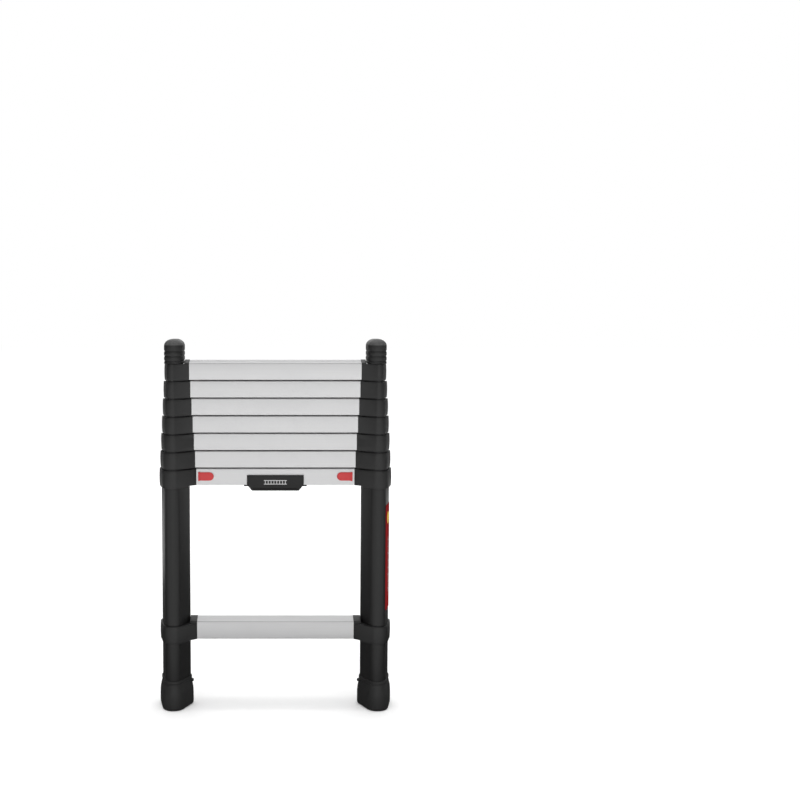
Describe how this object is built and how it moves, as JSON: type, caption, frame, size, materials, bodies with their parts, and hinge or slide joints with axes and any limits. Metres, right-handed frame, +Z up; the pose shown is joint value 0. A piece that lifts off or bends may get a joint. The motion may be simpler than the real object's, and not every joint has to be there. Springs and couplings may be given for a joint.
{
  "type": "telescopic ladder",
  "caption": "Telescopic leaning ladder shown collapsed: nested triangular aluminium stiles in black collars, flat rungs, rubber feet and end caps, red thumb releases.",
  "frame": {"origin": "on the floor under the middle of the collapsed ladder's bounding box", "axes": "+Z up along the stiles, in the direction the sections slide out; -Y is the front, where the thumb releases are, and +Y faces the wall; +X is to the right seen from the front"},
  "size_m": [0.4538, 0.0982, 0.7171],
  "materials": {
    "anodised_aluminium": "satin anodised",
    "black_coated_stile": "satin black coating",
    "collar_plastic": "fine matte texture",
    "rubber": "matte",
    "red_plastic": "satin moulded",
    "plate_plastic": "satin black",
    "label_film": "printed film"
  },
  "bodies": {
    "base": {"stile_1_right": "black_coated_stile", "stile_1_left": "black_coated_stile", "rung_1": "anodised_aluminium", "rung_2": "anodised_aluminium", "collar_1_right": "collar_plastic", "collar_1_left": "collar_plastic", "collar_2_right": "collar_plastic", "collar_2_left": "collar_plastic", "foot_right": "rubber", "foot_left": "rubber", "name_plate": "plate_plastic", "side_label": "label_film"},
    "section_2": {"stile_2_right": "anodised_aluminium", "stile_2_left": "anodised_aluminium", "rung_3": "anodised_aluminium", "collar_3_right": "collar_plastic", "collar_3_left": "collar_plastic"},
    "section_3": {"stile_3_right": "anodised_aluminium", "stile_3_left": "anodised_aluminium", "rung_4": "anodised_aluminium", "collar_4_right": "collar_plastic", "collar_4_left": "collar_plastic"},
    "section_4": {"stile_4_right": "anodised_aluminium", "stile_4_left": "anodised_aluminium", "rung_5": "anodised_aluminium", "collar_5_right": "collar_plastic", "collar_5_left": "collar_plastic"},
    "section_5": {"stile_5_right": "anodised_aluminium", "stile_5_left": "anodised_aluminium", "rung_6": "anodised_aluminium", "collar_6_right": "collar_plastic", "collar_6_left": "collar_plastic"},
    "section_6": {"stile_6_right": "anodised_aluminium", "stile_6_left": "anodised_aluminium", "rung_7": "anodised_aluminium", "collar_7_right": "collar_plastic", "collar_7_left": "collar_plastic"},
    "section_7": {"stile_7_right": "anodised_aluminium", "stile_7_left": "anodised_aluminium", "rung_8": "anodised_aluminium", "collar_8_right": "collar_plastic", "collar_8_left": "collar_plastic"},
    "section_8": {"stile_8_right": "anodised_aluminium", "stile_8_left": "anodised_aluminium", "top_cap_right": "rubber", "top_cap_left": "rubber"},
    "button_right": {"release_button_right": "red_plastic"},
    "button_left": {"release_button_left": "red_plastic"},
    "lever_3_right": {"release_lever_3_right": "red_plastic"},
    "lever_3_left": {"release_lever_3_left": "red_plastic"},
    "lever_4_right": {"release_lever_4_right": "red_plastic"},
    "lever_4_left": {"release_lever_4_left": "red_plastic"},
    "lever_5_right": {"release_lever_5_right": "red_plastic"},
    "lever_5_left": {"release_lever_5_left": "red_plastic"},
    "lever_6_right": {"release_lever_6_right": "red_plastic"},
    "lever_6_left": {"release_lever_6_left": "red_plastic"},
    "lever_7_right": {"release_lever_7_right": "red_plastic"},
    "lever_7_left": {"release_lever_7_left": "red_plastic"},
    "lever_8_right": {"release_lever_8_right": "red_plastic"},
    "lever_8_left": {"release_lever_8_left": "red_plastic"}
  },
  "joints": [
    {"name": "extend_2", "type": "slide", "parent": "base", "child": "section_2", "axis": [0, 0, 1], "range_m": [0, 0.2662]},
    {"name": "extend_3", "type": "slide", "parent": "section_2", "child": "section_3", "axis": [0, 0, 1], "range_m": [0, 0.2662]},
    {"name": "extend_4", "type": "slide", "parent": "section_3", "child": "section_4", "axis": [0, 0, 1], "range_m": [0, 0.2662]},
    {"name": "extend_5", "type": "slide", "parent": "section_4", "child": "section_5", "axis": [0, 0, 1], "range_m": [0, 0.2662]},
    {"name": "extend_6", "type": "slide", "parent": "section_5", "child": "section_6", "axis": [0, 0, 1], "range_m": [0, 0.2662]},
    {"name": "extend_7", "type": "slide", "parent": "section_6", "child": "section_7", "axis": [0, 0, 1], "range_m": [0, 0.2662]},
    {"name": "extend_8", "type": "slide", "parent": "section_7", "child": "section_8", "axis": [0, 0, 1], "range_m": [0, 0.2662]},
    {"name": "press_right", "type": "slide", "parent": "base", "child": "button_right", "axis": [-1, 0, 0], "range_m": [0, 0.008], "stiffness_N_per_m": 600, "springref_m": -0.004},
    {"name": "press_left", "type": "slide", "parent": "base", "child": "button_left", "axis": [1, 0, 0], "range_m": [0, 0.008], "stiffness_N_per_m": 600, "springref_m": -0.004},
    {"name": "lever_3_right_drop", "type": "hinge", "parent": "section_2", "child": "lever_3_right", "pos_m": [0.11973, -0.00585, 0.47475], "axis": [0, 1, 0], "range_deg": [0, 17]},
    {"name": "lever_3_left_drop", "type": "hinge", "parent": "section_2", "child": "lever_3_left", "pos_m": [-0.11973, -0.00585, 0.47475], "axis": [0, -1, 0], "range_deg": [0, 17]},
    {"name": "lever_4_right_drop", "type": "hinge", "parent": "section_3", "child": "lever_4_right", "pos_m": [0.12186, -0.00585, 0.50855], "axis": [0, 1, 0], "range_deg": [0, 17]},
    {"name": "lever_4_left_drop", "type": "hinge", "parent": "section_3", "child": "lever_4_left", "pos_m": [-0.12186, -0.00585, 0.50855], "axis": [0, -1, 0], "range_deg": [0, 17]},
    {"name": "lever_5_right_drop", "type": "hinge", "parent": "section_4", "child": "lever_5_right", "pos_m": [0.12399, -0.00585, 0.54235], "axis": [0, 1, 0], "range_deg": [0, 17]},
    {"name": "lever_5_left_drop", "type": "hinge", "parent": "section_4", "child": "lever_5_left", "pos_m": [-0.12399, -0.00585, 0.54235], "axis": [0, -1, 0], "range_deg": [0, 17]},
    {"name": "lever_6_right_drop", "type": "hinge", "parent": "section_5", "child": "lever_6_right", "pos_m": [0.12612, -0.00585, 0.57615], "axis": [0, 1, 0], "range_deg": [0, 17]},
    {"name": "lever_6_left_drop", "type": "hinge", "parent": "section_5", "child": "lever_6_left", "pos_m": [-0.12612, -0.00585, 0.57615], "axis": [0, -1, 0], "range_deg": [0, 17]},
    {"name": "lever_7_right_drop", "type": "hinge", "parent": "section_6", "child": "lever_7_right", "pos_m": [0.12825, -0.00585, 0.60995], "axis": [0, 1, 0], "range_deg": [0, 17]},
    {"name": "lever_7_left_drop", "type": "hinge", "parent": "section_6", "child": "lever_7_left", "pos_m": [-0.12825, -0.00585, 0.60995], "axis": [0, -1, 0], "range_deg": [0, 17]},
    {"name": "lever_8_right_drop", "type": "hinge", "parent": "section_7", "child": "lever_8_right", "pos_m": [0.13038, -0.00585, 0.64375], "axis": [0, 1, 0], "range_deg": [0, 17]},
    {"name": "lever_8_left_drop", "type": "hinge", "parent": "section_7", "child": "lever_8_left", "pos_m": [-0.13038, -0.00585, 0.64375], "axis": [0, -1, 0], "range_deg": [0, 17]}
  ],
  "couplings": [
    {"joint": "lever_3_right_drop", "follows": "extend_2", "rad_per_m": 1.11},
    {"joint": "lever_3_left_drop", "follows": "extend_2", "rad_per_m": 1.11},
    {"joint": "lever_4_right_drop", "follows": "extend_3", "rad_per_m": 1.11},
    {"joint": "lever_4_left_drop", "follows": "extend_3", "rad_per_m": 1.11},
    {"joint": "lever_5_right_drop", "follows": "extend_4", "rad_per_m": 1.11},
    {"joint": "lever_5_left_drop", "follows": "extend_4", "rad_per_m": 1.11},
    {"joint": "lever_6_right_drop", "follows": "extend_5", "rad_per_m": 1.11},
    {"joint": "lever_6_left_drop", "follows": "extend_5", "rad_per_m": 1.11},
    {"joint": "lever_7_right_drop", "follows": "extend_6", "rad_per_m": 1.11},
    {"joint": "lever_7_left_drop", "follows": "extend_6", "rad_per_m": 1.11},
    {"joint": "lever_8_right_drop", "follows": "extend_7", "rad_per_m": 1.11},
    {"joint": "lever_8_left_drop", "follows": "extend_7", "rad_per_m": 1.11}
  ]
}
